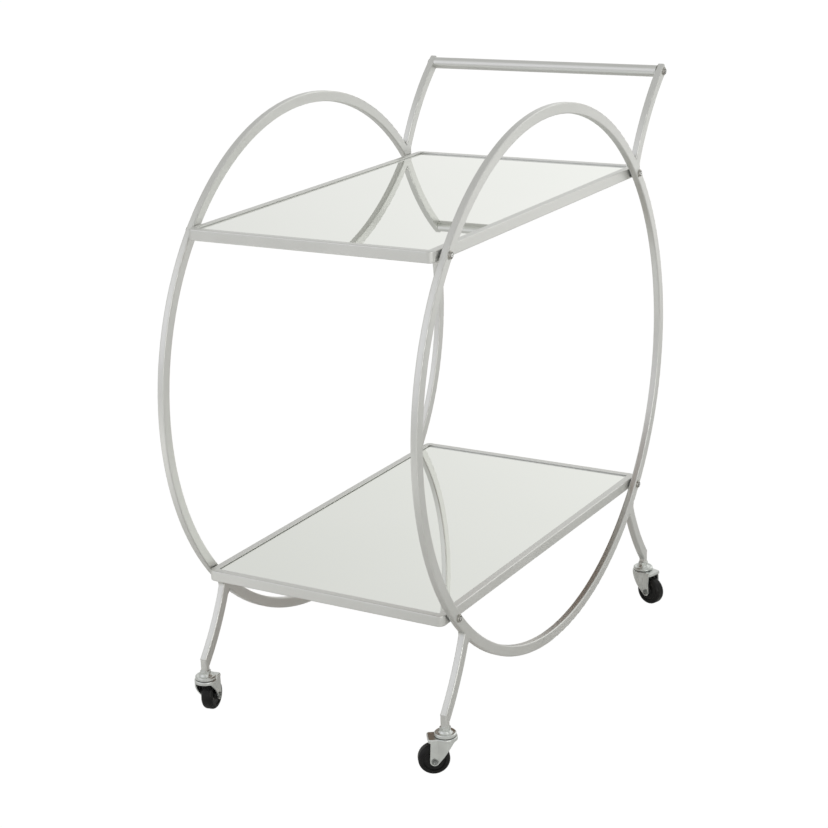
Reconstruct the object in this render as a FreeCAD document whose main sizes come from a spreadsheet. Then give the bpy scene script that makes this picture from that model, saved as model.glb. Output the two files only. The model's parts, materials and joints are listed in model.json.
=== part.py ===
"""Two-tier serving trolley: two ring side frames, two mirrored shelves, a push bar and four casters.

The trolley stands on the plane z = 0 with its middle on the Z axis. +Y points to the push bar,
+X to the right-hand ring. All lengths are in millimetres and all angles in degrees.
"""
import FreeCAD, Part
import math
import os

import Sketcher

# Driving dimensions: every other size in this file is worked out from these.
DIMENSIONS = {
    # Side frames: a rectangular tube rolled on edge into a ring
    "ring_radius": 370,          # centreline of the ring
    "ring_height": 441,          # ring centre above the floor
    "ring_spacing": 380,         # between the planes of the two rings
    "tube_depth": 15,            # tube size in the plane of the ring
    "tube_width": 10,            # tube size across the plane of the ring
    "tube_wall": 1.2,
    "tube_corner": 2,
    "bolt_angle": 40,            # shelf bolts, above and below the ring's horizontal diameter
    # Legs and handle arms: the same tube, rolled to the same radius, curving away from the ring
    "arc_distance": 618.4,       # from the ring's centre to the centre of each arc
    "leg_tilt": 12.2,            # direction of the leg's arc centre, below horizontal
    "leg_sweep": 43,
    "arm_tilt": 8.6,             # direction of the arm's arc centre, above horizontal
    "arm_bar_angle": 49.2,       # where the push bar crosses the arm's arc
    "arm_end_angle": 50.4,
    "arm_cap_thickness": 1.5,
    # Caster sockets under the legs
    "foot_offset": 318,          # swivel axis in front of or behind the ring's centre
    "foot_height": 64.5,         # underside of the socket above the floor
    "socket_depth": 9.6,
    "socket_corner": 2.6,
    # Push bar
    "bar_diameter": 17,
    "bar_wall": 1.2,
    "plug_length": 12,
    # Shelves
    "shelf_length": 612,
    "shelf_width": 366,
    "rail_width": 10,
    "rail_height": 15,
    "shelf_corner": 9,
    "rail_edge": 1.5,
    "mirror_recess": 2,
    "mirror_thickness": 4,
    "board_thickness": 3,
    "pane_gap": 1,               # between the mirror's edge and the rails
    "ledge_width": 12,
    "ledge_thickness": 2,
    "foam_length": 30,
    "foam_width": 8,
    "foam_thickness": 1,
    # Flanged button-head bolts with their spacers and rivet nuts
    "bolt_diameter": 4.9,
    "bolt_length": 20,
    "bolt_head_diameter": 9.5,
    "bolt_head_height": 2.75,
    "bolt_head_round": 1.6,
    "bolt_flange_diameter": 11.8,
    "bolt_flange_thickness": 0.9,
    "bolt_key_size": 3,
    "bolt_key_depth": 1.6,
    "bolt_hole": 5.5,
    "thread_bore": 5,
    "spacer_diameter": 12,
    "nut_flange_diameter": 9,
    "nut_flange_thickness": 0.8,
    "nut_body_diameter": 7,
    "nut_body_length": 7,
    "nut_hole": 7.1,
    "fit_clearance": 0.05,       # between a pin, plug or cap and its bore
    # Casters: heights are above the floor, radii are from the swivel axis
    "wheel_radius": 21,
    "wheel_width": 17.5,
    "wheel_edge": 5.5,
    "hub_radius": 5,
    "hub_width": 20.8,
    "web_inner_radius": 7.5,
    "web_outer_radius": 13.8,
    "web_depth": 1.4,
    "axle_radius": 3,
    "axle_head_radius": 4.4,
    "axle_head_thickness": 1.2,
    "axle_dish_radius": 3,
    "axle_dish_depth": 1,
    "trail": 15.6,
    "fork_wall": 1.8,
    "fork_rear_radius": 16,
    "fork_shoulder": 4,          # where the round rear of the fork starts to narrow
    "fork_waist": 11,            # where the two cheeks become parallel
    "fork_half_width": 12.6,
    "fork_front": 23.6,
    "fork_front_corner": 2,
    "fork_round": 1.6,           # along the edge of the cap
    "fork_top": 52,
    "fork_skirt": 47.4,
    "cheek_rear": 12.8,          # where the skirt starts to turn down into the cheek
    "cheek_front": 20.5,
    "cheek_corner": 5,           # radius of that turn
    "cheek_lobe_radius": 6.1,
    "pin_radius": 3,
    "pin_clearance": 0.08,
    "pin_head_radius": 5.5,
    "pin_head_top": 49.8,
    "pin_head_thickness": 1.8,
    "stem_length": 12,
    "stem_hex_size": 13,
    "stem_hex_height": 4.8,
    "race_radius": 14.6,
    "race_rim": 2,
    "race_bottom": 53,
    "race_seat": 54.4,
    "race_neck_radius": 7,       # top of the raceway's middle, under the collar
    "race_neck_foot": 8.8,
    "race_neck_height": 2.6,
    "race_channel_radius": 10,
    "race_channel_depth": 0.7,
    "race_crown_radius": 12.2,
    "race_shoulder": 1.3,
    "ball_radius": 1,
    "ball_circle": 11,
    # Direction of each caster's trail, measured from +X towards +Y, with the trolley at rest
    "swivel_front_left": 102,
    "swivel_front_right": -145,
    "swivel_back_left": -160,
    "swivel_back_right": -18,
}

BALLS_PER_CASTER = 12
FOAM_PADS_PER_LONG_SIDE = 3
CORNERS = {
    "front_left": (-1, -1),
    "front_right": (1, -1),
    "back_left": (-1, 1),
    "back_right": (1, 1),
}
SIDES = {"left": -1, "right": 1}
SHELVES = {"bottom": -1, "top": 1}

X_AXIS = FreeCAD.Vector(1, 0, 0)
Y_AXIS = FreeCAD.Vector(0, 1, 0)
Z_AXIS = FreeCAD.Vector(0, 0, 1)
START, END, CENTRE = 1, 2, 3     # how a sketch constraint names the points of an edge
TOLERANCE = 1e-6
SKETCH_ORIGIN = (-1, START)


class Size:
    """A length or angle that knows its value and the spreadsheet formula that gives it."""

    def __init__(self, formula, value):
        self.formula = formula
        self.value = value

    def join(self, sign, other, value):
        return Size(f"({self.formula} {sign} {other.formula})", value)

    def __add__(self, other):
        other = size(other)
        return self.join("+", other, self.value + other.value)

    def __sub__(self, other):
        other = size(other)
        return self.join("-", other, self.value - other.value)

    def __mul__(self, other):
        other = size(other)
        return self.join("*", other, self.value * other.value)

    def __truediv__(self, other):
        other = size(other)
        return self.join("/", other, self.value / other.value)

    def __neg__(self):
        return size(0) - self

    __radd__ = __add__
    __rmul__ = __mul__


def size(number):
    if isinstance(number, Size):
        return number
    return Size(str(number), number)


def cos(angle):
    return Size(f"cos({angle.formula})", math.cos(math.radians(angle.value)))


def sin(angle):
    return Size(f"sin({angle.formula})", math.sin(math.radians(angle.value)))


def root(number):
    return Size(f"sqrt({number.formula})", math.sqrt(number.value))


def dimension(name):
    return Size(f"Dimensions.{name}", DIMENSIONS[name])


document = FreeCAD.newDocument("trolley")
nodes = []                       # the sub-parts that are written out


def fill_sheet():
    sheet = document.addObject("Spreadsheet::Sheet", "Dimensions")
    for row, (name, value) in enumerate(DIMENSIONS.items(), start=1):
        sheet.set(f"A{row}", name)
        sheet.set(f"B{row}", str(value))
        sheet.setAlias(f"B{row}", name)
    document.recompute()


# --- Sketches -------------------------------------------------------------------------------

def new_body(name, is_node=True):
    body = document.addObject("PartDesign::Body", name)
    body.Label = name
    if is_node:
        nodes.append(body)
    return body


def new_sketch(body, plane, shift=(0, 0, 0)):
    """A sketch on one of the body's origin planes, moved by shift in the sketch's own axes."""
    sketch = body.newObject("Sketcher::SketchObject", f"{body.Name}_sketch")
    for feature in body.Origin.OriginFeatures:
        if feature.Role == plane:
            sketch.AttachmentSupport = [(feature, "")]
    sketch.MapMode = "FlatFace"
    for axis, distance in zip("xyz", shift):
        sketch.setExpression(f"AttachmentOffset.Base.{axis}", size(distance).formula)
    return sketch


def bind(sketch, kind, arguments, length):
    """Adds a dimensional constraint whose value follows the spreadsheet."""
    index = sketch.addConstraint(Sketcher.Constraint(kind, *arguments, length.value))
    sketch.renameConstraint(index, f"size_{index}")
    sketch.setExpression(f"Constraints.size_{index}", length.formula)


def place_point(sketch, point, x, y):
    bind(sketch, "DistanceX", (*SKETCH_ORIGIN, *point), size(x))
    bind(sketch, "DistanceY", (*SKETCH_ORIGIN, *point), size(y))


def circle(sketch, x, y, radius):
    x, y, radius = size(x), size(y), size(radius)
    centre = FreeCAD.Vector(x.value, y.value, 0)
    index = sketch.addGeometry(Part.Circle(centre, Z_AXIS, radius.value), False)
    place_point(sketch, (index, CENTRE), x, y)
    bind(sketch, "Radius", (index,), radius)


def polygon(sketch, points):
    """A closed outline through points, each an x and y."""
    points = [(size(x), size(y)) for x, y in points]
    corners = [FreeCAD.Vector(x.value, y.value, 0) for x, y in points]
    lines = [
        sketch.addGeometry(Part.LineSegment(here, there), False)
        for here, there in zip(corners, corners[1:] + corners[:1])
    ]
    for line, following in zip(lines, lines[1:] + lines[:1]):
        sketch.addConstraint(Sketcher.Constraint("Coincident", line, END, following, START))
    for line, (x, y) in zip(lines, points):
        place_point(sketch, (line, START), x, y)


def rectangle(sketch, half_x, half_y):
    """A rectangle centred on the sketch's origin."""
    polygon(sketch, [
        (-half_x, -half_y),
        (half_x, -half_y),
        (half_x, half_y),
        (-half_x, half_y),
    ])


def rounded_rectangle(sketch, half_x, half_y, radius, y=0):
    """A rectangle centred on (0, y) whose four corners are arcs of one radius."""
    middle, corner = size(y), size(radius)
    low, high = middle - half_y, middle + half_y
    x_ends = ((half_x - corner).value, half_x.value)
    y_ends = ((half_y - corner).value, half_y.value)
    arcs = []
    for turn, (x_sign, y_sign) in enumerate(((1, 1), (-1, 1), (-1, -1), (1, -1))):
        centre = FreeCAD.Vector(x_sign * x_ends[0], middle.value + y_sign * y_ends[0], 0)
        round_corner = Part.Circle(centre, Z_AXIS, corner.value)
        start = turn * math.pi / 2
        arc = Part.ArcOfCircle(round_corner, start, start + math.pi / 2)
        arcs.append((sketch.addGeometry(arc, False), arc))
    sides = []
    for (index, arc), (following, next_arc) in zip(arcs, arcs[1:] + arcs[:1]):
        side = sketch.addGeometry(Part.LineSegment(arc.EndPoint, next_arc.StartPoint), False)
        sketch.addConstraint(Sketcher.Constraint("Tangent", index, END, side, START))
        sketch.addConstraint(Sketcher.Constraint("Tangent", side, END, following, START))
        sides.append(side)
    top, left, bottom, right = sides
    for side in (top, bottom):
        sketch.addConstraint(Sketcher.Constraint("Horizontal", side))
    for side in (left, right):
        sketch.addConstraint(Sketcher.Constraint("Vertical", side))
    for index, _ in arcs[1:]:
        sketch.addConstraint(Sketcher.Constraint("Equal", arcs[0][0], index))
    bind(sketch, "Radius", (arcs[0][0],), corner)
    bind(sketch, "DistanceY", (*SKETCH_ORIGIN, top, START), high)
    bind(sketch, "DistanceY", (*SKETCH_ORIGIN, bottom, START), low)
    bind(sketch, "DistanceX", (*SKETCH_ORIGIN, left, START), -half_x)
    bind(sketch, "DistanceX", (*SKETCH_ORIGIN, right, START), half_x)


def hexagon(sketch, across_flats):
    """A regular hexagon about the origin, with corners on the sketch's x axis."""
    corner_radius = across_flats / math.sqrt(3)
    half_flats = across_flats / 2
    polygon(sketch, [
        (corner_radius, 0),
        (corner_radius / 2, half_flats),
        (-corner_radius / 2, half_flats),
        (-corner_radius, 0),
        (-corner_radius / 2, -half_flats),
        (corner_radius / 2, -half_flats),
    ])


# --- Features -------------------------------------------------------------------------------

def pad(body, sketch, length, midplane=False, backwards=False):
    feature = body.newObject("PartDesign::Pad", f"{body.Name}_pad")
    feature.Profile = sketch
    feature.setExpression("Length", size(length).formula)
    feature.Midplane = midplane
    feature.Reversed = backwards
    return feature


def revolve(body, sketch, axis, angle=360, backwards=False):
    feature = body.newObject("PartDesign::Revolution", f"{body.Name}_revolution")
    feature.Profile = sketch
    feature.ReferenceAxis = (sketch, [axis])
    feature.setExpression("Angle", size(angle).formula)
    feature.Reversed = backwards
    return feature


def pocket(body, sketch, length, midplane=True, backwards=False):
    """Cuts the sketch out of the body and makes sure that it removes something."""
    document.recompute()
    volume = body.Shape.Volume
    feature = body.newObject("PartDesign::Pocket", f"{body.Name}_pocket")
    feature.Profile = sketch
    feature.setExpression("Length", size(length).formula)
    feature.Midplane = midplane
    feature.Reversed = backwards
    document.recompute()
    if not body.Shape.Volume < volume:
        raise RuntimeError(f"a pocket in {body.Label} cuts nothing")
    return feature


def fillet(body, radius, belongs):
    """Rounds the edges of the body's shape for which belongs(edge) is true."""
    document.recompute()
    base = body.Tip
    names = [f"Edge{n}" for n, edge in enumerate(base.Shape.Edges, start=1) if belongs(edge)]
    feature = body.newObject("PartDesign::Fillet", f"{body.Name}_fillet")
    feature.Base = (base, names)
    feature.setExpression("Radius", size(radius).formula)
    return feature


def is_level(edge):
    return edge.BoundBox.ZLength < TOLERANCE


def place(item, x=0, y=0, z=0, axis=Z_AXIS, angle=0):
    """Puts a body or a link at x, y, z, turned about axis."""
    item.Placement = FreeCAD.Placement(FreeCAD.Vector(), FreeCAD.Rotation(axis, 1))
    for name, distance in (("x", x), ("y", y), ("z", z)):
        item.setExpression(f"Placement.Base.{name}", size(distance).formula)
    item.setExpression("Placement.Rotation.Angle", size(angle).formula)


def group(name, template, places):
    """One node made of copies of a template body; each place holds the arguments of place()."""
    copies = []
    for position in places:
        copy = document.addObject("App::Link", f"{name}_copy")
        copy.LinkedObject = template
        place(copy, **position)
        copies.append(copy)
    compound = document.addObject("Part::Compound", name)
    compound.Label = name
    compound.Links = copies
    nodes.append(compound)


# --- Places worked out from the driving dimensions --------------------------------------------

fill_sheet()

ring_radius = dimension("ring_radius")
ring_height = dimension("ring_height")
half_depth = dimension("tube_depth") / 2
half_width = dimension("tube_width") / 2
side_offset = dimension("ring_spacing") / 2
ring_outer_face = side_offset + half_width
ring_rim = ring_radius + half_depth
bolt_along = ring_radius * cos(dimension("bolt_angle"))
bolt_rise = ring_radius * sin(dimension("bolt_angle"))
foot_offset = dimension("foot_offset")
foot_height = dimension("foot_height")


def through(thickness):
    """A length of cut that runs well past both faces of something this thick."""
    return thickness * 4


def tube_section(sketch, y=0):
    """The tube's outer and inner outlines, centred on (0, y) with its depth along y."""
    wall = dimension("tube_wall")
    corner = dimension("tube_corner")
    rounded_rectangle(sketch, half_width, half_depth, corner, y)
    rounded_rectangle(sketch, half_width - wall, half_depth - wall, corner - wall, y)


# --- Side frames ------------------------------------------------------------------------------

def make_ring(side, sign):
    body = new_body(f"ring_{side}")
    section = new_sketch(body, "XY_Plane")
    tube_section(section, ring_radius)
    revolve(body, section, "H_Axis")
    holes = new_sketch(body, "YZ_Plane")
    for y_sign in (-1, 1):
        for z_sign in (-1, 1):
            circle(holes, bolt_along * y_sign, bolt_rise * z_sign, dimension("bolt_hole") / 2)
    pocket(body, holes, through(dimension("tube_width")))
    place(body, x=side_offset * sign, z=ring_height)


def arc_centre(tilt):
    """Centre of a leg's or arm's arc from the ring's centre, for a tilt above horizontal."""
    distance = dimension("arc_distance")
    return distance * cos(tilt), distance * sin(tilt)


def roll_tube(body, centre, sweep, downwards):
    """The tube rolled about centre, from the arc's point nearest the ring's centre."""
    section = new_sketch(body, "XY_Plane", shift=(0, *centre))
    tube_section(section, -ring_radius)
    revolve(body, section, "H_Axis", sweep, backwards=not downwards)


def cope_on_ring(body):
    """Cuts away what would be inside the ring's rim, so that the tube sits on the rim."""
    rim = new_sketch(body, "YZ_Plane")
    circle(rim, 0, 0, ring_rim)
    pocket(body, rim, through(dimension("tube_width")))


def mitre_line():
    """Where the leg's outer and inner faces meet the outer and inner faces of the socket."""
    arc_y, arc_z = arc_centre(-dimension("leg_tilt"))
    ends = []
    for sign in (1, -1):
        y = foot_offset + dimension("socket_depth") / 2 * sign
        face_radius = ring_radius - half_depth * sign
        across = arc_y - y
        ends.append((y, arc_z - root(face_radius * face_radius - across * across)))
    return ends


def mitre_cut(body, side):
    """Cuts the body along the mitre between leg and socket; side 1 cuts away the outer part."""
    (outer_y, outer_z), (inner_y, inner_z) = mitre_line()
    step_y = outer_y - inner_y
    step_z = outer_z - inner_z
    above = (outer_y + step_y, outer_z + step_z)
    below = (inner_y - step_y, inner_z - step_z)
    away = (step_z * (2 * side), step_y * (-2 * side))
    corners = [above, below]
    corners += [(y + away[0], z + away[1]) for y, z in (below, above)]
    sketch = new_sketch(body, "YZ_Plane")
    polygon(sketch, corners)
    pocket(body, sketch, through(dimension("tube_width")))


def place_on_ring(body, x_sign, y_sign):
    """Stands a body drawn from the ring's centre, +Y outwards, at the front or the back."""
    place(body, x=side_offset * x_sign, z=ring_height, angle=0 if y_sign > 0 else 180)


def make_leg(corner, x_sign, y_sign):
    body = new_body(f"leg_{corner}")
    roll_tube(body, arc_centre(-dimension("leg_tilt")), dimension("leg_sweep"), downwards=True)
    cope_on_ring(body)
    mitre_cut(body, side=1)
    place_on_ring(body, x_sign, y_sign)


def make_socket(corner, x_sign, y_sign):
    """The solid end of the leg, with a bore for the caster's stem."""
    body = new_body(f"caster_socket_{corner}")
    bottom = foot_height - ring_height
    (_, outer_z), _ = mitre_line()
    outline = new_sketch(body, "XY_Plane", shift=(0, 0, bottom))
    half_socket = dimension("socket_depth") / 2
    rounded_rectangle(outline, half_width, half_socket, dimension("socket_corner"), foot_offset)
    pad(body, outline, outer_z - bottom)
    bore = new_sketch(body, "XY_Plane", shift=(0, 0, bottom))
    circle(bore, 0, foot_offset, dimension("pin_radius") + dimension("fit_clearance"))
    pocket(body, bore, through(dimension("stem_length")))
    mitre_cut(body, side=-1)
    place_on_ring(body, x_sign, y_sign)


def arm_point(angle):
    """The arm's centreline at an angle of its arc, from the ring's centre."""
    arc_y, arc_z = arc_centre(dimension("arm_tilt"))
    return arc_y - ring_radius * cos(angle), arc_z + ring_radius * sin(angle)


def make_arm(side, sign):
    body = new_body(f"handle_arm_{side}")
    centre = arc_centre(dimension("arm_tilt"))
    roll_tube(body, centre, dimension("arm_end_angle"), downwards=False)
    cope_on_ring(body)
    hole = new_sketch(body, "YZ_Plane")
    circle(hole, *arm_point(dimension("arm_bar_angle")), dimension("bolt_hole") / 2)
    pocket(body, hole, through(dimension("tube_width")))
    place_on_ring(body, sign, 1)


def make_arm_caps():
    """Plates that close the upper ends of the two arms."""
    cap = new_body("arm_cap", is_node=False)
    outline = new_sketch(cap, "XY_Plane")
    inset = dimension("tube_wall") + dimension("fit_clearance")
    corner = dimension("tube_corner") - dimension("tube_wall")
    rounded_rectangle(outline, half_width - inset, half_depth - inset, corner)
    pad(cap, outline, dimension("arm_cap_thickness"), backwards=True)
    y, z = arm_point(dimension("arm_end_angle"))
    group("handle_arm_caps", cap, [
        dict(x=side_offset * sign, y=y, z=ring_height + z, axis=X_AXIS,
             angle=-dimension("arm_end_angle"))
        for sign in SIDES.values()
    ])


# --- Bolts, nuts and spacers ------------------------------------------------------------------

def make_bolt():
    """A flanged button-head bolt along Z, with the underside of its flange on the XY plane."""
    body = new_body("bolt", is_node=False)
    head = new_sketch(body, "XY_Plane")
    head_radius = dimension("bolt_head_diameter") / 2
    head_height = dimension("bolt_head_height")
    circle(head, 0, 0, head_radius)
    pad(body, head, head_height)
    fillet(body, dimension("bolt_head_round"),
           lambda edge: abs(edge.BoundBox.ZMin - head_height.value) < TOLERANCE)
    flange = new_sketch(body, "XY_Plane")
    circle(flange, 0, 0, dimension("bolt_flange_diameter") / 2)
    pad(body, flange, dimension("bolt_flange_thickness"))
    shank = new_sketch(body, "XY_Plane")
    circle(shank, 0, 0, dimension("bolt_diameter") / 2)
    pad(body, shank, dimension("bolt_length"), backwards=True)
    key = new_sketch(body, "XY_Plane", shift=(0, 0, head_height))
    hexagon(key, dimension("bolt_key_size"))
    pocket(body, key, dimension("bolt_key_depth"), midplane=False)
    return body


def make_tube_piece(name, outer_radius, bore_radius, length, backwards=False):
    """A plain round piece with a bore, along Z from the XY plane."""
    body = new_body(name, is_node=False)
    outline = new_sketch(body, "XY_Plane")
    circle(outline, 0, 0, outer_radius)
    circle(outline, 0, 0, bore_radius)
    pad(body, outline, length, backwards=backwards)
    return body


def make_rivet_nut():
    """A rivet nut along Z: its flange above the XY plane, its threaded body below."""
    bore = dimension("thread_bore") / 2
    flange = dimension("nut_flange_thickness")
    body = make_tube_piece("rivet_nut", dimension("nut_flange_diameter") / 2, bore, flange)
    barrel = new_sketch(body, "XY_Plane")
    circle(barrel, 0, 0, dimension("nut_body_diameter") / 2)
    circle(barrel, 0, 0, bore)
    pad(body, barrel, dimension("nut_body_length"), backwards=True)
    return body


def facing_outwards(x, y, z, sign):
    """The place of a piece drawn along Z that points away from the trolley's middle."""
    return dict(x=x * sign, y=y, z=z, axis=Y_AXIS, angle=90 * sign)


def at_shelf_bolts(x, height):
    return [
        facing_outwards(x, bolt_along * y_sign, height, x_sign)
        for x_sign, y_sign in CORNERS.values()
    ]


# --- Push bar ---------------------------------------------------------------------------------

def make_push_bar(bolt):
    y, rise = arm_point(dimension("arm_bar_angle"))
    height = ring_height + rise
    radius = dimension("bar_diameter") / 2
    bore = radius - dimension("bar_wall")
    half_length = side_offset - half_width
    bar = new_body("handle_bar")
    outline = new_sketch(bar, "YZ_Plane")
    circle(outline, 0, 0, radius)
    circle(outline, 0, 0, bore)
    pad(bar, outline, half_length * 2, midplane=True)
    place(bar, y=y, z=height)
    plug = make_tube_piece("bar_plug", bore - dimension("fit_clearance"),
                           dimension("thread_bore") / 2, dimension("plug_length"), backwards=True)
    for name, template, x in (
        ("handle_bar_plugs", plug, half_length),
        ("handle_bolts", bolt, ring_outer_face),
    ):
        group(name, template, [facing_outwards(x, y, height, sign) for sign in SIDES.values()])


# --- Shelves ----------------------------------------------------------------------------------

shelf_half_x = dimension("shelf_width") / 2
shelf_half_y = dimension("shelf_length") / 2
rail_width = dimension("rail_width")
opening_x = shelf_half_x - rail_width
opening_y = shelf_half_y - rail_width
rail_top = dimension("rail_height") / 2
mirror_top = rail_top - dimension("mirror_recess")
board_top = mirror_top - dimension("mirror_thickness")
foam_top = board_top - dimension("board_thickness")
ledge_top = foam_top - dimension("foam_thickness")


def make_shelf_frame(name, height):
    """A welded frame of rectangular tube: two flanges joined by an outer and an inner web."""
    body = new_body(f"{name}_frame")
    wall = dimension("tube_wall")
    corner = dimension("shelf_corner")
    for level in (-rail_top, rail_top - wall):
        flange = new_sketch(body, "XY_Plane", shift=(0, 0, level))
        rounded_rectangle(flange, shelf_half_x, shelf_half_y, corner)
        rectangle(flange, opening_x, opening_y)
        pad(body, flange, wall)
    webs = new_sketch(body, "XY_Plane", shift=(0, 0, wall - rail_top))
    rounded_rectangle(webs, shelf_half_x, shelf_half_y, corner)
    rounded_rectangle(webs, shelf_half_x - wall, shelf_half_y - wall, corner - wall)
    rectangle(webs, opening_x + wall, opening_y + wall)
    rectangle(webs, opening_x, opening_y)
    pad(body, webs, (rail_top - wall) * 2)
    for sign in SIDES.values():
        holes = new_sketch(body, "YZ_Plane", shift=(0, 0, (shelf_half_x - wall / 2) * sign))
        for y_sign in (-1, 1):
            circle(holes, bolt_along * y_sign, 0, dimension("nut_hole") / 2)
        pocket(body, holes, through(wall))

    def on_long_edge(edge):
        box = edge.BoundBox
        flat = is_level(edge) and abs(abs(box.ZMin) - rail_top.value) < TOLERANCE
        reaches = max(abs(box.XMin), abs(box.XMax)) >= (opening_x + wall).value
        reaches = reaches or max(abs(box.YMin), abs(box.YMax)) >= (opening_y + wall).value
        return flat and reaches

    fillet(body, dimension("rail_edge"), on_long_edge)
    place(body, z=height)


def make_pane(name, top, thickness, height):
    """A flat sheet that fills the frame's opening, with its upper face at top."""
    body = new_body(name)
    gap = dimension("pane_gap")
    outline = new_sketch(body, "XY_Plane", shift=(0, 0, top - thickness))
    rectangle(outline, opening_x - gap, opening_y - gap)
    pad(body, outline, thickness)
    place(body, z=height)


def make_ledge(name, height):
    """The flat strip welded round the inside of the frame to carry the board and mirror."""
    body = new_body(f"{name}_ledge")
    width = dimension("ledge_width")
    thickness = dimension("ledge_thickness")
    outline = new_sketch(body, "XY_Plane", shift=(0, 0, ledge_top - thickness))
    rectangle(outline, opening_x, opening_y)
    rectangle(outline, opening_x - width, opening_y - width)
    pad(body, outline, thickness)
    place(body, z=height)


def make_foam_pad():
    body = new_body("foam_pad", is_node=False)
    outline = new_sketch(body, "XY_Plane")
    rectangle(outline, dimension("foam_width") / 2, dimension("foam_length") / 2)
    pad(body, outline, dimension("foam_thickness"))
    return body


def foam_places(height):
    """Pads at even steps along each long ledge, and one in the middle of each short ledge."""
    middle = dimension("ledge_width") / 2
    level = height + ledge_top
    step = opening_y * 2 / (FOAM_PADS_PER_LONG_SIDE + 1)
    places = []
    for sign in SIDES.values():
        for number in range(FOAM_PADS_PER_LONG_SIDE):
            along = step * (number - (FOAM_PADS_PER_LONG_SIDE - 1) / 2)
            places.append(dict(x=(opening_x - middle) * sign, y=along, z=level))
        places.append(dict(y=(opening_y - middle) * sign, z=level, angle=90))
    return places


def make_shelf(tier, sign, bolt, spacer, rivet_nut, foam_pad):
    name = f"{tier}_shelf"
    height = ring_height + bolt_rise * sign
    make_shelf_frame(name, height)
    make_ledge(name, height)
    group(f"{name}_foam_pads", foam_pad, foam_places(height))
    make_pane(f"{name}_board", board_top, dimension("board_thickness"), height)
    make_pane(f"{name}_mirror", mirror_top, dimension("mirror_thickness"), height)
    flange = dimension("nut_flange_thickness")
    group(f"{name}_rivet_nuts", rivet_nut, at_shelf_bolts(shelf_half_x, height))
    group(f"{name}_spacers", spacer, at_shelf_bolts(shelf_half_x + flange, height))
    group(f"{name}_bolts", bolt, at_shelf_bolts(ring_outer_face, height))


# --- Casters ----------------------------------------------------------------------------------
# Each is drawn with its swivel axis on Z, its wheel towards +X and the floor at z = 0.

wheel_radius = dimension("wheel_radius")
trail = dimension("trail")
fork_top = dimension("fork_top")
fork_wall = dimension("fork_wall")
fork_skirt = dimension("fork_skirt")
fork_rear_radius = dimension("fork_rear_radius")
pin_radius = dimension("pin_radius")


def place_caster(body, corner, forward=0, height=0):
    """Turns a caster's piece to its rest direction, forward of the swivel axis by a distance."""
    x_sign, y_sign = CORNERS[corner]
    direction = dimension(f"swivel_{corner}")
    place(body, x=side_offset * x_sign + forward * cos(direction),
          y=foot_offset * y_sign + forward * sin(direction), z=height, angle=direction)


def make_stem(corner):
    """Threaded stem, hexagon collar and king pin in one piece, with a peened head below."""
    body = new_body(f"caster_stem_{corner}")
    stem_top = foot_height + dimension("stem_length")
    head_top = dimension("pin_head_top")
    head_radius = dimension("pin_head_radius")
    head_bottom = head_top - dimension("pin_head_thickness")
    outline = new_sketch(body, "XZ_Plane")
    polygon(outline, [
        (0, head_bottom),
        (head_radius, head_bottom),
        (head_radius, head_top),
        (pin_radius, head_top),
        (pin_radius, stem_top),
        (0, stem_top),
    ])
    revolve(body, outline, "V_Axis")
    height = dimension("stem_hex_height")
    collar = new_sketch(body, "XY_Plane", shift=(0, 0, foot_height - height))
    hexagon(collar, dimension("stem_hex_size"))
    pad(body, collar, height)
    place_caster(body, corner)


def make_raceway(corner):
    """The upper cup of the swivel bearing: a neck under the collar, a channel and a crown."""
    body = new_body(f"caster_raceway_{corner}")
    bore = pin_radius + dimension("fit_clearance")
    rim = dimension("race_radius")
    groove = rim - dimension("race_rim")
    seat = dimension("race_seat")
    bottom = dimension("race_bottom")
    shoulder = dimension("race_shoulder")
    top = foot_height - dimension("stem_hex_height")
    neck_bottom = top - dimension("race_neck_height")
    outline = new_sketch(body, "XZ_Plane")
    polygon(outline, [
        (bore, seat),
        (groove, seat),
        (groove, bottom),
        (rim, bottom),
        (rim, neck_bottom - shoulder),
        (rim - shoulder, neck_bottom),
        (dimension("race_crown_radius"), neck_bottom),
        (dimension("race_channel_radius"), neck_bottom - dimension("race_channel_depth")),
        (dimension("race_neck_foot"), neck_bottom),
        (dimension("race_neck_radius"), top),
        (bore, top),
    ])
    revolve(body, outline, "V_Axis")
    place_caster(body, corner)


def make_ball():
    ball = document.addObject("Part::Sphere", "ball")
    ball.setExpression("Radius", dimension("ball_radius").formula)
    return ball


def make_balls(corner, ball):
    """The ring of balls that the fork turns on."""
    x_sign, y_sign = CORNERS[corner]
    circle_radius = dimension("ball_circle")
    places = []
    for number in range(BALLS_PER_CASTER):
        turn = size(360 * number / BALLS_PER_CASTER)
        places.append(dict(
            x=side_offset * x_sign + circle_radius * cos(turn),
            y=foot_offset * y_sign + circle_radius * sin(turn),
            z=fork_top + dimension("ball_radius"),
        ))
    group(f"caster_balls_{corner}", ball, places)


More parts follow.
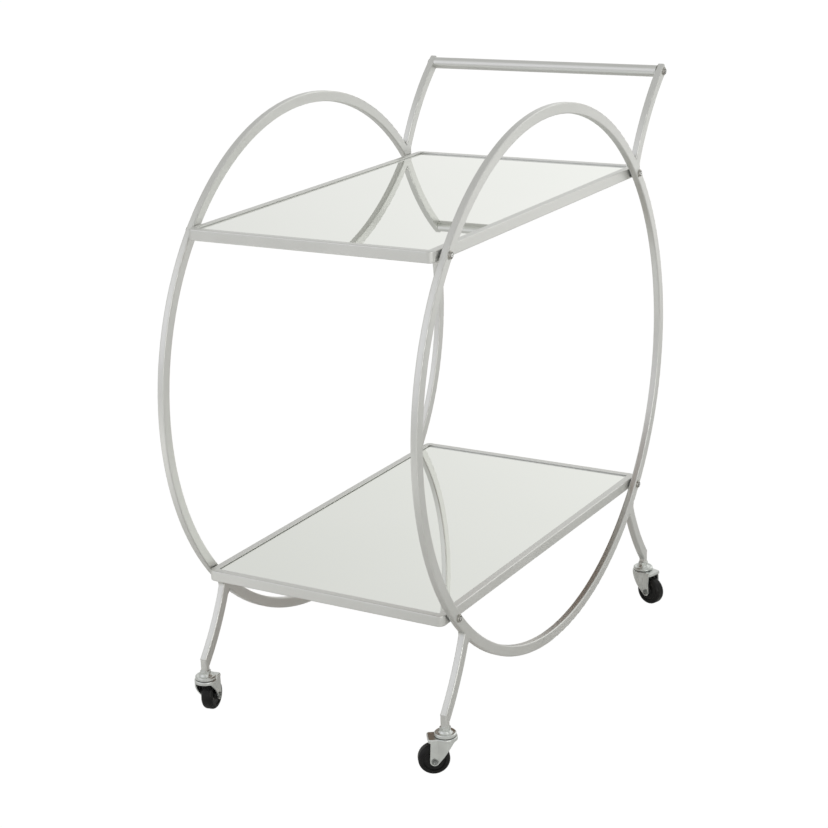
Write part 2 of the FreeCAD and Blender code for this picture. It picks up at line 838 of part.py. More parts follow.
def fork_plan(sketch, inset):
    """Plan of the fork's cap: a round rear that narrows to two parallel cheeks and a front."""
    inset = size(inset)
    radius = fork_rear_radius - inset
    shoulder = dimension("fork_shoulder")
    shoulder_y = root(radius * radius - shoulder * shoulder)
    waist = dimension("fork_waist")
    half = dimension("fork_half_width") - inset
    front = dimension("fork_front") - inset
    cut = dimension("fork_front_corner") - inset / 2
    start = math.atan2(shoulder_y.value, shoulder.value)
    rear = Part.Circle(FreeCAD.Vector(), Z_AXIS, radius.value)
    arc = sketch.addGeometry(Part.ArcOfCircle(rear, start, 2 * math.pi - start), False)
    sketch.addConstraint(Sketcher.Constraint("Coincident", arc, CENTRE, *SKETCH_ORIGIN))
    points = [
        (shoulder, -shoulder_y),
        (waist, -half),
        (front - cut, -half),
        (front, cut - half),
        (front, half - cut),
        (front - cut, half),
        (waist, half),
        (shoulder, shoulder_y),
    ]
    corners = [FreeCAD.Vector(x.value, y.value, 0) for x, y in points]
    lines = [
        sketch.addGeometry(Part.LineSegment(here, there), False)
        for here, there in zip(corners, corners[1:])
    ]
    for line, following in zip(lines, lines[1:]):
        sketch.addConstraint(Sketcher.Constraint("Coincident", line, END, following, START))
    sketch.addConstraint(Sketcher.Constraint("Coincident", arc, END, lines[0], START))
    sketch.addConstraint(Sketcher.Constraint("Coincident", lines[-1], END, arc, START))
    for line, (x, y) in zip(lines, points):
        place_point(sketch, (line, START), x, y)
    bind(sketch, "DistanceX", (*SKETCH_ORIGIN, lines[-1], END), shoulder)


def turned(angle, radius):
    return FreeCAD.Vector(math.cos(angle), math.sin(angle), 0) * radius


def cheek_surround(sketch):
    """Everything below the cap's skirt that isn't a cheek, seen from the side.

    Two arcs are joined by straight runs: the round end of the cheek about the axle, and the
    inside corner where the skirt turns down into the cheek's rear edge.
    """
    lobe = dimension("cheek_lobe_radius")
    bend = dimension("cheek_corner")
    rear = -dimension("cheek_rear")
    far = fork_rear_radius + dimension("fork_front")
    low = wheel_radius - lobe * 2
    hub = FreeCAD.Vector(trail.value, wheel_radius.value, 0)
    bend_centre = FreeCAD.Vector(rear.value, (fork_skirt - bend).value, 0)
    front = FreeCAD.Vector(dimension("cheek_front").value, fork_skirt.value, 0)

    # The rear edge touches both circles and passes between them
    across = hub - bend_centre
    rear_side = math.atan2(across.y, across.x)
    rear_side += math.acos((lobe.value + bend.value) / across.Length)
    reach = front - hub
    front_side = math.atan2(reach.y, reach.x) - math.acos(lobe.value / reach.Length)

    end_circle = Part.Circle(hub, Z_AXIS, lobe.value)
    bend_circle = Part.Circle(bend_centre, Z_AXIS, bend.value)
    end = Part.ArcOfCircle(end_circle, rear_side + math.pi, front_side + 2 * math.pi)
    corner = Part.ArcOfCircle(bend_circle, rear_side, math.pi / 2)
    points = [
        (dimension("cheek_front"), fork_skirt),
        (far, fork_skirt),
        (far, low),
        (-far, low),
        (-far, fork_skirt),
        (rear, fork_skirt),
    ]
    stops = [hub + turned(front_side, lobe.value)]
    stops += [FreeCAD.Vector(x.value, y.value, 0) for x, y in points]
    lines = [
        sketch.addGeometry(Part.LineSegment(here, there), False)
        for here, there in zip(stops, stops[1:])
    ]
    rear_edge = Part.LineSegment(corner.StartPoint, end.StartPoint)
    end = sketch.addGeometry(end, False)
    corner = sketch.addGeometry(corner, False)
    rear_edge = sketch.addGeometry(rear_edge, False)
    for line, following in zip(lines, lines[1:]):
        sketch.addConstraint(Sketcher.Constraint("Coincident", line, END, following, START))
    sketch.addConstraint(Sketcher.Constraint("Tangent", end, END, lines[0], START))
    sketch.addConstraint(Sketcher.Constraint("Tangent", lines[-1], END, corner, END))
    sketch.addConstraint(Sketcher.Constraint("Tangent", corner, START, rear_edge, START))
    sketch.addConstraint(Sketcher.Constraint("Tangent", rear_edge, END, end, START))
    bind(sketch, "Radius", (end,), lobe)
    bind(sketch, "Radius", (corner,), bend)
    place_point(sketch, (end, CENTRE), trail, wheel_radius)
    for line, (x, y) in zip(lines[1:], points):
        place_point(sketch, (line, START), x, y)
    bind(sketch, "DistanceX", (*SKETCH_ORIGIN, lines[-1], END), rear)


def make_fork(corner):
    """The pressed fork: a skirted cap over the king pin, drawn down into two cheeks."""
    body = new_body(f"caster_fork_{corner}")
    bottom = wheel_radius - dimension("cheek_lobe_radius")
    plan = new_sketch(body, "XY_Plane", shift=(0, 0, bottom))
    fork_plan(plan, 0)
    pad(body, plan, fork_top - bottom)
    hollow = new_sketch(body, "XY_Plane", shift=(0, 0, fork_top - fork_wall))
    fork_plan(hollow, fork_wall)
    pocket(body, hollow, fork_top, midplane=False)
    surround = new_sketch(body, "XZ_Plane")
    cheek_surround(surround)
    pocket(body, surround, through(fork_rear_radius * 2))
    pin_hole = new_sketch(body, "XY_Plane", shift=(0, 0, fork_top))
    circle(pin_hole, 0, 0, pin_radius + dimension("pin_clearance"))
    pocket(body, pin_hole, through(fork_wall))
    axle_hole = new_sketch(body, "XZ_Plane")
    circle(axle_hole, trail, wheel_radius, dimension("axle_radius"))
    pocket(body, axle_hole, through(fork_rear_radius * 2))
    fillet(body, dimension("fork_round"), on_cap_outline)
    place_caster(body, corner)


def on_cap_outline(edge):
    """Whether an edge of the fork belongs to the outer outline of the cap's upper face."""
    point = edge.Vertexes[0].Point
    on_top = is_level(edge) and abs(point.z - fork_top.value) < TOLERANCE
    return on_top and math.hypot(point.x, point.y) > 2 * pin_radius.value


def make_axle(corner):
    """The riveted axle along Y, dished at both heads."""
    body = new_body(f"caster_axle_{corner}")
    radius = dimension("axle_radius")
    face = dimension("fork_half_width")
    tip = face + dimension("axle_head_thickness")
    head = dimension("axle_head_radius")
    dish = dimension("axle_dish_radius")
    floor_of_dish = tip - dimension("axle_dish_depth")
    outline = new_sketch(body, "XY_Plane")
    polygon(outline, [
        (0, -floor_of_dish),
        (dish / 2, -floor_of_dish),
        (dish, -tip),
        (head, -tip),
        (head, -face),
        (radius, -face),
        (radius, face),
        (head, face),
        (head, tip),
        (dish, tip),
        (dish / 2, floor_of_dish),
        (0, floor_of_dish),
    ])
    revolve(body, outline, "V_Axis")
    place_caster(body, corner, trail, wheel_radius)


def make_wheel(corner):
    """A solid wheel about Y with a shallow web on each side and a hub that spaces the fork."""
    body = new_body(f"caster_wheel_{corner}")
    bore = dimension("axle_radius") + dimension("fit_clearance")
    hub = dimension("hub_radius")
    hub_half = dimension("hub_width") / 2
    half = dimension("wheel_width") / 2
    web_in = dimension("web_inner_radius")
    web_out = dimension("web_outer_radius")
    web_half = half - dimension("web_depth")
    one_side = [
        (bore, hub_half),
        (hub, hub_half),
        (web_in, web_half),
        (web_out, web_half),
        (web_out + dimension("web_depth") / 2, half),
        (wheel_radius, half),
    ]
    outline = new_sketch(body, "XY_Plane")
    polygon(outline, one_side + [(x, -y) for x, y in reversed(one_side)])
    revolve(body, outline, "V_Axis")
    fillet(body, dimension("wheel_edge"),
           lambda edge: edge.BoundBox.YLength < TOLERANCE
           and abs(edge.BoundBox.ZMax - wheel_radius.value) < TOLERANCE)
    place_caster(body, corner, trail, wheel_radius)


# --- The trolley ------------------------------------------------------------------------------

def make_trolley():
    bolt = make_bolt()
    rivet_nut = make_rivet_nut()
    foam_pad = make_foam_pad()
    gap = side_offset - half_width - shelf_half_x - dimension("nut_flange_thickness")
    spacer = make_tube_piece("spacer", dimension("spacer_diameter") / 2,
                             dimension("bolt_hole") / 2, gap)
    for side, sign in SIDES.items():
        make_ring(side, sign)
        make_arm(side, sign)
    make_arm_caps()
    make_push_bar(bolt)
    for tier, sign in SHELVES.items():
        make_shelf(tier, sign, bolt, spacer, rivet_nut, foam_pad)
    ball = make_ball()
    for corner, signs in CORNERS.items():
        make_leg(corner, *signs)
        make_socket(corner, *signs)
        make_stem(corner)
        make_raceway(corner)
        make_balls(corner, ball)
        make_fork(corner)
        make_axle(corner)
        make_wheel(corner)


def check():
    """Stops at anything that failed to build, before a file is written."""
    for item in document.Objects:
        if "Invalid" in item.State or "Error" in item.State:
            raise RuntimeError(f"{item.Label} failed: {item.State}")
    for node in nodes:
        if node.Shape.isNull() or not node.Shape.isValid():
            raise RuntimeError(f"{node.Label} has no valid shape")


def write():
    os.makedirs("parts", exist_ok=True)
    for node in nodes:
        node.Shape.exportStep(f"parts/{node.Label}.step")


make_trolley()
document.recompute()
check()
write()
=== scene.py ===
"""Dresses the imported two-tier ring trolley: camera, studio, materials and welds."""

import json
import math

import bmesh
import bpy
from mathutils import Matrix, Vector


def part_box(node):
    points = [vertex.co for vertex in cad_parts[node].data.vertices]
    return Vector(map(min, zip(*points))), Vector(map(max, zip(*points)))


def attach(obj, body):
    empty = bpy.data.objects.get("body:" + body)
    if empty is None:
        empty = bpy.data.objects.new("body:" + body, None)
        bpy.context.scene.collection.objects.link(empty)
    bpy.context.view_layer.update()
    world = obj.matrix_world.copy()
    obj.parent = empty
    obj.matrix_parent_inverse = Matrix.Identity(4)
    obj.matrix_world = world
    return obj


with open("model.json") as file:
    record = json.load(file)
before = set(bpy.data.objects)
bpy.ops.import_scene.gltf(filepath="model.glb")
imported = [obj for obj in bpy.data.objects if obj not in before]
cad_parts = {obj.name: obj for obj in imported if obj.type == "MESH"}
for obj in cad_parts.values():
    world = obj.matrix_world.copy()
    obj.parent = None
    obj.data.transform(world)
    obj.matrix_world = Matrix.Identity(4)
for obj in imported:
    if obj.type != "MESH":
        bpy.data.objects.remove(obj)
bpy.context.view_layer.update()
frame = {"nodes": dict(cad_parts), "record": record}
nodes = frame["nodes"]

MM = 0.001
CART = "cart_frame"
CORNERS = {
    "front_left": (-1, -1),
    "front_right": (1, -1),
    "back_left": (-1, 1),
    "back_right": (1, 1),
}
SIDES = {"left": -1, "right": 1}

# The rolled tubes and the bolts, in metres: the same sizes and arcs as the solids'.
TUBE_DEPTH = 15 * MM
TUBE_CORNER = 2 * MM
BOLT_FLANGE = 11.8 * MM
ARC_DISTANCE = 618.4 * MM
LEG_TILT = math.radians(-12.2)
ARM_TILT = math.radians(8.6)


def middle(node):
    low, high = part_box(node)
    return (low + high) / 2


# --- Camera -----------------------------------------------------------------------------------

CAMERA_AZIMUTH = math.radians(32.258)
CAMERA_ELEVATION = math.radians(17.553)
CAMERA_ROLL = math.radians(-2.346)
CAMERA_DISTANCE = 2.7560         # from the rings' common axis, along the camera's own axis
CAMERA_RIGHT = -0.1124           # how far the camera stands off that line, along its own axes
CAMERA_UP = -0.0755
CAMERA_LENS = 84.81
CAMERA_SHIFT = (0.0772, 0.0072)


def make_camera():
    """Looks at the rings' common axis, then stands off to the side as far as the view needs."""
    flat = math.cos(CAMERA_ELEVATION)
    back = Vector((
        math.sin(CAMERA_AZIMUTH) * flat,
        -math.cos(CAMERA_AZIMUTH) * flat,
        math.sin(CAMERA_ELEVATION),
    ))
    turn = back.to_track_quat("Z", "Y").to_matrix() @ Matrix.Rotation(CAMERA_ROLL, 3, "Z")
    centre = (middle("ring_left") + middle("ring_right")) / 2
    place = centre + turn @ Vector((CAMERA_RIGHT, CAMERA_UP, CAMERA_DISTANCE))
    data = bpy.data.cameras.new("camera")
    data.lens = CAMERA_LENS
    data.shift_x, data.shift_y = CAMERA_SHIFT
    camera = bpy.data.objects.new("camera", data)
    camera.matrix_world = Matrix.Translation(place) @ turn.to_4x4()
    bpy.context.scene.collection.objects.link(camera)
    bpy.context.scene.camera = camera


# --- Node trees -------------------------------------------------------------------------------

class Shader:
    """A Principled material built from nodes, patterned in the object's own coordinates."""

    def __init__(self, name, **constants):
        self.material = bpy.data.materials.new(name)
        self.material.use_nodes = True
        self.tree = self.material.node_tree
        self.surface = self.tree.nodes["Principled BSDF"]
        for socket, value in constants.items():
            self.surface.inputs[socket.replace("_", " ")].default_value = value
        self.space = self.add("ShaderNodeTexCoord").outputs["Object"]

    def add(self, kind, inputs=None, **settings):
        """A new node with its settings and its inputs, each a value or another node's output."""
        node = self.tree.nodes.new(kind)
        for name, value in settings.items():
            setattr(node, name, value)
        for name, value in (inputs or {}).items():
            if isinstance(value, bpy.types.NodeSocket):
                self.tree.links.new(value, node.inputs[name])
            else:
                node.inputs[name].default_value = value
        return node

    def stretched(self, x, y, z):
        """The pattern space scaled along its axes."""
        node = self.add("ShaderNodeMapping", {"Vector": self.space, "Scale": (x, y, z)})
        return node.outputs["Vector"]

    def noise(self, scale, detail=3, roughness=0.5, space=None):
        node = self.add("ShaderNodeTexNoise", {
            "Vector": space or self.space,
            "Scale": scale,
            "Detail": detail,
            "Roughness": roughness,
        })
        return node.outputs["Fac"]

    def spread(self, value, low, high, start=0.3, end=0.7):
        """Maps a pattern's values from start..end to low..high."""
        node = self.add("ShaderNodeMapRange", {
            "Value": value,
            "From Min": start,
            "From Max": end,
            "To Min": low,
            "To Max": high,
        })
        return node.outputs["Result"]

    def blend(self, factor, first, second):
        node = self.add("ShaderNodeMix", data_type="RGBA")
        colours = [socket for socket in node.inputs if socket.type == "RGBA"]
        self.tree.links.new(factor, node.inputs[0])
        for socket, value in zip(colours, (first, second)):
            if isinstance(value, bpy.types.NodeSocket):
                self.tree.links.new(value, socket)
            else:
                socket.default_value = (*value, 1)
        return [socket for socket in node.outputs if socket.type == "RGBA"][0]

    def bump(self, height, depth, below=None):
        """A bump of that depth in metres, on top of another bump if one is given."""
        inputs = {"Height": height, "Distance": depth, "Strength": 1}
        if below:
            inputs["Normal"] = below
        return self.add("ShaderNodeBump", inputs).outputs["Normal"]

    def link(self, **outputs):
        for socket, output in outputs.items():
            self.tree.links.new(output, self.surface.inputs[socket.replace("_", " ")])
        return self.material


# --- Materials --------------------------------------------------------------------------------

def silver_paint():
    """Satin silver powder coat: fine flake, faint orange peel, slightly uneven gloss."""
    shader = Shader("silver_paint", Metallic=0.82, Coat_Weight=0.12, Coat_Roughness=0.3)
    flake = shader.noise(2600, detail=1)
    cloud = shader.noise(9, detail=2)
    peel = shader.noise(620, detail=2)
    tone = shader.blend(shader.spread(cloud, 0, 1), (0.66, 0.665, 0.64), (0.72, 0.722, 0.70))
    colour = shader.blend(shader.spread(flake, 0, 0.22), tone, (0.86, 0.86, 0.85))
    return shader.link(
        Base_Color=colour,
        Roughness=shader.spread(cloud, 0.34, 0.42),
        Normal=shader.bump(flake, 1.5e-6, shader.bump(peel, 5e-6)),
    )


def mirror_glass():
    """Silvered glass: a clear reflection with the faint green of 4 mm glass, darker at its edges."""
    shader = Shader("mirror", Metallic=1, Roughness=0.015)
    normal = shader.add("ShaderNodeTexCoord").outputs["Normal"]
    upward = shader.add("ShaderNodeSeparateXYZ", {"Vector": normal}).outputs["Z"]
    haze = shader.noise(3, detail=2)
    face = shader.blend(shader.spread(haze, 0, 1), (0.885, 0.905, 0.865), (0.90, 0.915, 0.88))
    edge_on = shader.spread(upward, 1, 0, 0.2, 0.8)
    return shader.link(Base_Color=shader.blend(edge_on, face, (0.10, 0.22, 0.17)))


def zinc(name, tint, gloss):
    """Bright zinc plate on pressed steel, with fine rolling marks and uneven passivation."""
    shader = Shader(name, Metallic=1)
    cloud = shader.noise(70, detail=2)
    marks = shader.noise(900, detail=2, space=shader.stretched(1, 1, 0.15))
    pale = tuple(min(1, value * 1.08) for value in tint)
    colour = shader.blend(shader.spread(cloud, 0, 1), tint, pale)
    return shader.link(
        Base_Color=colour,
        Roughness=shader.spread(cloud, gloss, gloss + 0.08),
        Normal=shader.bump(marks, 2e-6),
    )


# Where the ring of painted shade on a bolt begins and where it ends, as shares of the flange's
# radius.
SHADE_RING_STARTS = (0.36, 0.46)
SHADE_RING_ENDS = (0.64, 0.74)


def bolt_steel(name, node):
    """Polished bolt heads: a ring of painted shade round the key socket of each, and a darker grey
    flange.
    """
    shader = Shader(name, Metallic=1)
    _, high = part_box(node)
    around = shader.add("ShaderNodeVectorMath", {0: shader.space}, operation="ABSOLUTE")
    reach = BOLT_FLANGE / 2
    axis = (0, high.y - reach, high.z - reach)
    flat = shader.add("ShaderNodeVectorMath", {
        0: around.outputs["Vector"],
        1: (0, 1, 1),
    }, operation="MULTIPLY")
    radius = shader.add("ShaderNodeVectorMath", {
        0: flat.outputs["Vector"],
        1: axis,
    }, operation="DISTANCE").outputs["Value"]
    # Painted shade: a dark ring on the dome's flank, then a mid grey flange beyond it.
    shade_ring = shader.spread(radius, 0, 1, *(share * reach for share in SHADE_RING_STARTS))
    past_shade_ring = shader.spread(radius, 0, 1, *(share * reach for share in SHADE_RING_ENDS))
    cloud = shader.noise(400, detail=2)
    dome = shader.blend(shade_ring, (0.84, 0.84, 0.83), (0.13, 0.125, 0.11))
    colour = shader.blend(past_shade_ring, dome, (0.50, 0.49, 0.46))
    return shader.link(
        Base_Color=colour,
        Roughness=shader.spread(cloud, 0.08, 0.2),
        Normal=shader.bump(cloud, 4e-6),
    )


def black_rubber():
    """Moulded black rubber with a faint bloom and a fine skin texture."""
    shader = Shader("black_wheel", Specular_IOR_Level=0.26)
    grain = shader.noise(1500, detail=3)
    bloom = shader.noise(120, detail=3)
    colour = shader.blend(shader.spread(bloom, 0, 1), (0.004, 0.004, 0.004), (0.010, 0.010, 0.009))
    return shader.link(
        Base_Color=colour,
        Roughness=shader.spread(bloom, 0.30, 0.46),
        Normal=shader.bump(grain, 12e-6),
    )


def grey_plastic():
    """Moulded grey nylon with a fine spark-eroded grain."""
    shader = Shader("grey_plastic", Specular_IOR_Level=0.4)
    grain = shader.noise(1800, detail=2)
    cloud = shader.noise(80, detail=2)
    colour = shader.blend(shader.spread(cloud, 0, 1), (0.12, 0.12, 0.12), (0.15, 0.15, 0.148))
    return shader.link(
        Base_Color=colour,
        Roughness=shader.spread(grain, 0.45, 0.6),
        Normal=shader.bump(grain, 10e-6),
    )


def black_foam():
    """Black self-adhesive foam with open cells."""
    shader = Shader("black_foam", Specular_IOR_Level=0.2)
    cells = shader.add("ShaderNodeTexVoronoi", {"Vector": shader.space, "Scale": 1400})
    depth = cells.outputs["Distance"]
    # The cell hollows are painted darker, as shade.
    colour = shader.blend(depth, (0.01, 0.01, 0.01), (0.05, 0.05, 0.05))
    return shader.link(
        Base_Color=colour,
        Roughness=shader.spread(depth, 0.8, 0.95, 0, 1),
        Normal=shader.bump(depth, 120e-6),
    )


def hardboard():
    """Dark brown pressed fibreboard: matted fibres under a thin sealed skin."""
    shader = Shader("dark_board", Specular_IOR_Level=0.35)
    fibres = shader.noise(420, detail=5, roughness=0.7, space=shader.stretched(1, 0.35, 1))
    mottle = shader.noise(25, detail=4)
    tone = shader.blend(shader.spread(mottle, 0, 1), (0.190, 0.108, 0.058), (0.270, 0.155, 0.085))
    colour = shader.blend(shader.spread(fibres, 0, 0.5), tone, (0.33, 0.20, 0.12))
    return shader.link(
        Base_Color=colour,
        Roughness=shader.spread(fibres, 0.5, 0.7),
        Normal=shader.bump(fibres, 30e-6),
    )


MATERIALS = {
    "silver_paint": silver_paint(),
    "mirror": mirror_glass(),
    "zinc_steel": zinc("zinc_steel", (0.69, 0.71, 0.69), 0.32),
    "bright_steel": zinc("bright_steel", (0.72, 0.72, 0.71), 0.08),
    "black_wheel": black_rubber(),
    "grey_plastic": grey_plastic(),
    "black_foam": black_foam(),
    "dark_board": hardboard(),
}


# Nodes whose colour differs from the rest of their slot: painted shade on the bolts and the axles.
SPECIAL = {
    node: bolt_steel(f"painted_shade_{node}", node)
    for node in ("bottom_shelf_bolts", "top_shelf_bolts", "handle_bolts")
}
# The axles' zinc is painted dark, as the shade in their dished heads.
for corner in CORNERS:
    SPECIAL[f"caster_axle_{corner}"] = zinc(f"shaded_axle_{corner}", (0.26, 0.27, 0.26), 0.22)


def dress_nodes():
    """Gives every CAD node the finished material of its slot."""
    for part in frame["record"]["subparts"]:
        name = part["node"]
        slots = nodes[name].data.materials
        slots.clear()
        slots.append(SPECIAL.get(name) or MATERIALS[part["material_slot"]])


# --- Mesh pieces ------------------------------------------------------------------------------

def add_piece(name, vertices, faces, slot, body, smooth=True):
    mesh = bpy.data.meshes.new(name)
    mesh.from_pydata([tuple(vertex) for vertex in vertices], [], faces)
    mesh.validate()
    mesh.update()
    for polygon in mesh.polygons:
        polygon.use_smooth = smooth
    mesh.materials.append(MATERIALS[slot])
    piece = bpy.data.objects.new(name, mesh)
    bpy.context.scene.collection.objects.link(piece)
    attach(piece, body)
    return piece


# --- Welds ------------------------------------------------------------------------------------

WELD_RADIUS = 5 * MM
WELD_STEPS = 8
WELD_SETBACK = 0.4 * MM          # how far the fillets stop short of the tubes' flat sides
FILLER_SETBACK = 0.02 * MM       # the same for the fillers, which are ground flush
RING_AXIS = Vector((0, 0))       # in (y, z) about the rings' own axis


def circle_crossing(radius_a, centre_b, radius_b, upper):
    """Where a circle about the origin meets one about centre_b, in (y, z)."""
    distance = centre_b.length
    along = (distance ** 2 + radius_a ** 2 - radius_b ** 2) / (2 * distance)
    across = math.sqrt(radius_a ** 2 - along ** 2)
    direction = centre_b / distance
    normal = Vector((-direction.y, direction.x))
    return direction * along + normal * (across if upper else -across)


def arc_points(centre, radius, start, end):
    """Points on a circle from the direction of start to the direction of end, the short way."""
    first = math.atan2(start.y - centre.y, start.x - centre.x)
    sweep = math.atan2(end.y - centre.y, end.x - centre.x) - first
    sweep = (sweep + math.pi) % (2 * math.pi) - math.pi
    angles = [first + sweep * step / WELD_STEPS for step in range(WELD_STEPS + 1)]
    return [centre + Vector((math.cos(a), math.sin(a))) * radius for a in angles]


def add_weld(name, outline, x, y_sign, facing_in, short):
    """Weld metal of that outline in (y, z) about the rings' axis, short of the tube's two sides."""
    low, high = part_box("ring_left")
    height = middle("ring_left").z
    half = (high.x - low.x) / 2 - short
    vertices = [
        Vector((x + half * side, point.x * y_sign, point.y + height))
        for side in (-1, 1)
        for point in outline
    ]
    count = len(outline)
    faces = [list(range(count))[::-1], list(range(count, 2 * count))]
    faces += [
        [i, (i + 1) % count, (i + 1) % count + count, i + count]
        for i in range(count)
    ]
    if facing_in:
        faces = [face[::-1] for face in faces]
    return add_piece(name, vertices, faces, "silver_paint", CART, smooth=False)


def fillet_outline(rim, centre_b, radius_b, inside, upper):
    """The ground fillet between the ring's rim and one face of a tube."""
    sign = -1 if inside else 1
    corner = circle_crossing(rim, centre_b, radius_b, upper)
    ball = circle_crossing(rim + WELD_RADIUS, centre_b, radius_b + WELD_RADIUS * sign, upper)
    touch_rim = ball * (rim / ball.length)
    touch_tube = centre_b + (ball - centre_b).normalized() * radius_b
    on_rim = arc_points(RING_AXIS, rim, corner, touch_rim)
    on_tube = arc_points(centre_b, radius_b, corner, touch_tube)
    skin = arc_points(ball, WELD_RADIUS, touch_rim, touch_tube)
    return on_rim + skin[1:-1] + on_tube[::-1][:-1]


def filler_outline(rim, centre_b, radii, upper):
    """The weld that fills the groove between a tube's end and the rounded corner of the rim."""
    first, last = (circle_crossing(rim, centre_b, radius, upper) for radius in radii)
    lower = arc_points(RING_AXIS, rim - TUBE_CORNER, first, last)
    higher = arc_points(RING_AXIS, rim, first, last)
    return lower + higher[::-1]


def make_welds():
    """Welds ground flush on each leg and arm where it leaves its ring."""
    low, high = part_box("ring_left")
    rim = (high.z - low.z) / 2
    joints = [
        (f"leg_{corner}", x_sign, y_sign, LEG_TILT, False)
        for corner, (x_sign, y_sign) in CORNERS.items()
    ]
    joints += [(f"arm_{side}", x_sign, 1, ARM_TILT, True) for side, x_sign in SIDES.items()]
    for name, x_sign, y_sign, tilt, upper in joints:
        x = middle("ring_right").x * x_sign
        centre = Vector((math.cos(tilt), math.sin(tilt))) * ARC_DISTANCE
        facing_in = (y_sign > 0) != upper
        for face, radius, inside in (("inner", rim, False), ("outer", rim - TUBE_DEPTH, True)):
            outline = fillet_outline(rim, centre, radius, inside, upper)
            add_weld(f"weld_{name}_{face}", outline, x, y_sign, facing_in, WELD_SETBACK)
        outline = filler_outline(rim, centre, (rim, rim - TUBE_DEPTH), upper)
        add_weld(f"weld_{name}_filler", outline, x, y_sign, facing_in, FILLER_SETBACK)


# --- Studio -----------------------------------------------------------------------------------

FLOOR_SIZE = 60
FLOOR_GLOW = 0.93                # nearly white before any light falls on it
UNDER_GLOW = 0.06                # of the reflected floor away from its bright pools
REFLECTED_HEIGHT = 0.2 * MM      # of the reflected floor over the one that the camera sees
DOME_SEGMENTS = 48
MATT = 0.9
WHITE = (1, 1, 1, 1)
KEY_PLACE = (-2.0, -2.2, 2.2)
KEY_SIZE = 3.0
KEY_POWER = 6
AMBIENT = (0.60, 0.60, 0.59)
PLAIN = (1, 1, 0.985)
COOL = (1, 1, 1.2)
# Each soft light in the room, or the dark side of it: direction towards it, angle that it fills,
# brightness it adds, how many times wider than high it is, and its colour.
ROOM_LIGHTS = (
    ((-0.50, -0.80, 0.32), 40, 0.27, 1.0, COOL),
    ((0.12, 0.98, 0.10), 62, 0.42, 2.2, PLAIN),
    ((0.35, 0.80, 0.50), 28, 0.35, 1.0, PLAIN),
    ((0.86, -0.43, 0.10), 22, 2.20, 0.5, PLAIN),
    ((1.00, -0.10, -0.05), 42, -0.34, 1.0, PLAIN),
)


def make_world():
    """A pale room: even light, brighter where its soft lights hang."""
    world = bpy.data.worlds.new("studio")
    bpy.context.scene.world = world
    world.use_nodes = True
    tree = world.node_tree

    def vector_node(operation, **inputs):
        """The result of a vector operation on a and b, or on a and scale."""
        node = tree.nodes.new("ShaderNodeVectorMath")
        node.operation = operation
        for name, value in inputs.items():
            socket = node.inputs["Scale"] if name == "scale" else node.inputs["ab".index(name)]
            if isinstance(value, bpy.types.NodeSocket):
                tree.links.new(value, socket)
            else:
                socket.default_value = value
        return node.outputs["Value" if operation == "DOT_PRODUCT" else "Vector"]

    direction = tree.nodes.new("ShaderNodeTexCoord").outputs["Generated"]
    total = AMBIENT
    for towards, angle, brightness, flatness, tint in ROOM_LIGHTS:
        stretch = Vector((1, 1, flatness))
        view = vector_node("NORMALIZE", a=vector_node("MULTIPLY", a=direction, b=stretch))
        middle_of_light = (Vector(towards) * stretch).normalized()
        lobe = tree.nodes.new("ShaderNodeMapRange")
        lobe.interpolation_type = "SMOOTHSTEP"
        tree.links.new(vector_node("DOT_PRODUCT", a=view, b=middle_of_light), lobe.inputs["Value"])
        lobe.inputs["From Min"].default_value = math.cos(math.radians(angle))
        lobe.inputs["From Max"].default_value = 1
        lobe.inputs["To Max"].default_value = brightness
        glow = vector_node("SCALE", a=tint, scale=lobe.outputs["Result"])
        total = vector_node("ADD", a=glow, b=total)
    tree.links.new(total, tree.nodes["Background"].inputs["Color"])


def add_ground(name, material, height):
    half = FLOOR_SIZE / 2
    corners = [(x * half, y * half, height) for x, y in ((-1, -1), (1, -1), (1, 1), (-1, 1))]
    mesh = bpy.data.meshes.new(name)
    mesh.from_pydata(corners, [], [(0, 1, 2, 3)])
    mesh.materials.append(material)
    ground = bpy.data.objects.new(name, mesh)
    bpy.context.scene.collection.objects.link(ground)
    return ground


def make_floor():
    """A white floor with only the softest shadow. It doesn't light the trolley or show in it."""
    shader = Shader("floor", Roughness=MATT, Emission_Color=WHITE, Emission_Strength=FLOOR_GLOW)
    speckle = shader.noise(40, detail=2)
    material = shader.link(
        Base_Color=shader.blend(speckle, (0.11, 0.11, 0.11), (0.12, 0.12, 0.12)),
    )
    floor = add_ground("floor", material, 0)
    floor.visible_diffuse = False
    floor.visible_glossy = False


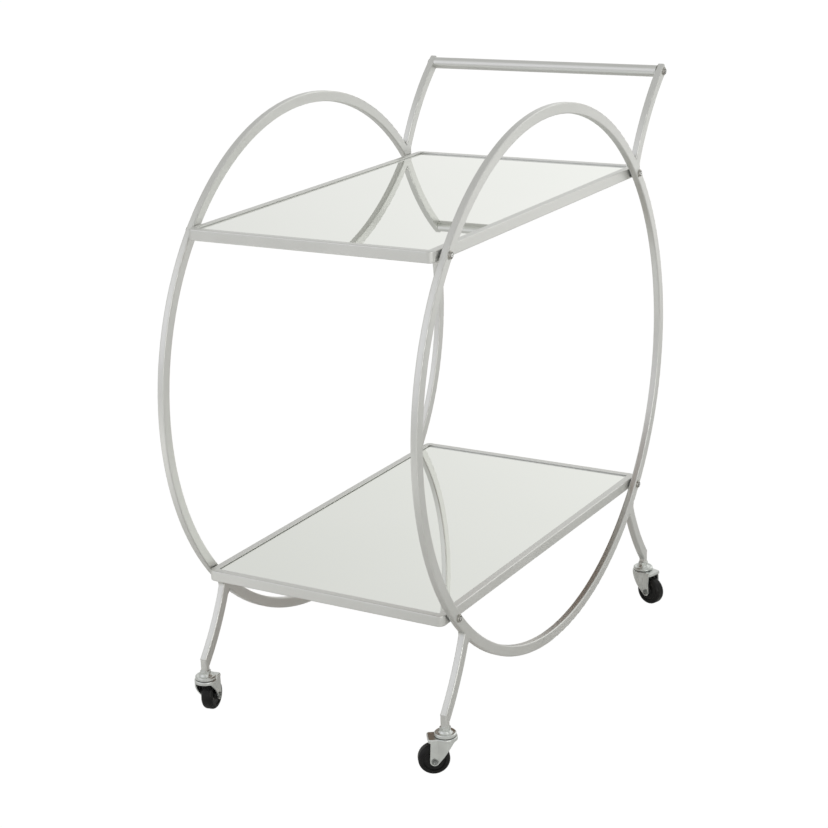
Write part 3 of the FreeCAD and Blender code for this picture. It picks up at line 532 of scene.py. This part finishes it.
def make_backdrop():
    """A white dome round everything, which only the camera sees."""
    shader = Shader("backdrop", Roughness=MATT, Emission_Color=WHITE, Emission_Strength=1)
    grey = shader.blend(shader.noise(1), (0, 0, 0), (0.01, 0.01, 0.01))
    material = shader.link(Base_Color=grey)
    shape = bmesh.new()
    bmesh.ops.create_uvsphere(
        shape, u_segments=DOME_SEGMENTS, v_segments=DOME_SEGMENTS // 2, radius=FLOOR_SIZE / 2)
    mesh = bpy.data.meshes.new("backdrop")
    shape.to_mesh(mesh)
    shape.free()
    mesh.materials.append(material)
    backdrop = bpy.data.objects.new("backdrop", mesh)
    bpy.context.scene.collection.objects.link(backdrop)
    backdrop.visible_diffuse = False
    backdrop.visible_glossy = False
    backdrop.visible_shadow = False


# Pools of painted light that glow on the floor that the trolley reflects: middle, radius that it
# fills, brightness.
FLOOR_POOLS = (
    ((-0.9, -1.1, 0), 1.1, 0.50),
    ((2.2, 3.2, 0), 2.5, 0.76),
    ((1.5, -1.5, 0), 1.3, 0.70),
)


def make_reflected_floor():
    """The floor as the trolley sees it: grey, darker underneath, with glowing pools of painted
    light.
    """
    shader = Shader("reflected_floor", Roughness=MATT, Emission_Color=WHITE)
    glow = UNDER_GLOW
    for centre, radius, brightness in FLOOR_POOLS:
        away = shader.add("ShaderNodeVectorMath", {0: shader.space, 1: centre}, operation="DISTANCE")
        pool = shader.add("ShaderNodeMapRange", {
            "Value": away.outputs["Value"],
            "From Min": radius,
            "From Max": 0,
            "To Max": brightness,
        }, interpolation_type="SMOOTHSTEP")
        total = shader.add("ShaderNodeMath", {0: pool.outputs["Result"], 1: glow}, operation="ADD")
        glow = total.outputs["Value"]
    speckle = shader.noise(40, detail=2)
    material = shader.link(
        Base_Color=shader.blend(speckle, (0.74, 0.74, 0.72), (0.78, 0.78, 0.76)),
        Emission_Strength=glow,
    )
    ground = add_ground("reflected_floor", material, REFLECTED_HEIGHT)
    ground.visible_camera = False
    ground.visible_shadow = False


def make_lamp(name, place, target, size, power):
    """A square area lamp that faces its target: size in metres, power in watts."""
    data = bpy.data.lights.new(name, "AREA")
    data.size = size
    data.energy = power
    lamp = bpy.data.objects.new(name, data)
    place = Vector(place)
    lamp.location = place
    lamp.rotation_mode = "QUATERNION"
    lamp.rotation_quaternion = (Vector(target) - place).to_track_quat("-Z", "Y")
    bpy.context.scene.collection.objects.link(lamp)


# --- The scene --------------------------------------------------------------------------------

bpy.context.scene.view_settings.view_transform = "Standard"
make_camera()
dress_nodes()
make_welds()
make_world()
make_floor()
make_backdrop()
make_reflected_floor()
make_lamp("key", KEY_PLACE, middle("top_shelf_frame"), KEY_SIZE, KEY_POWER)
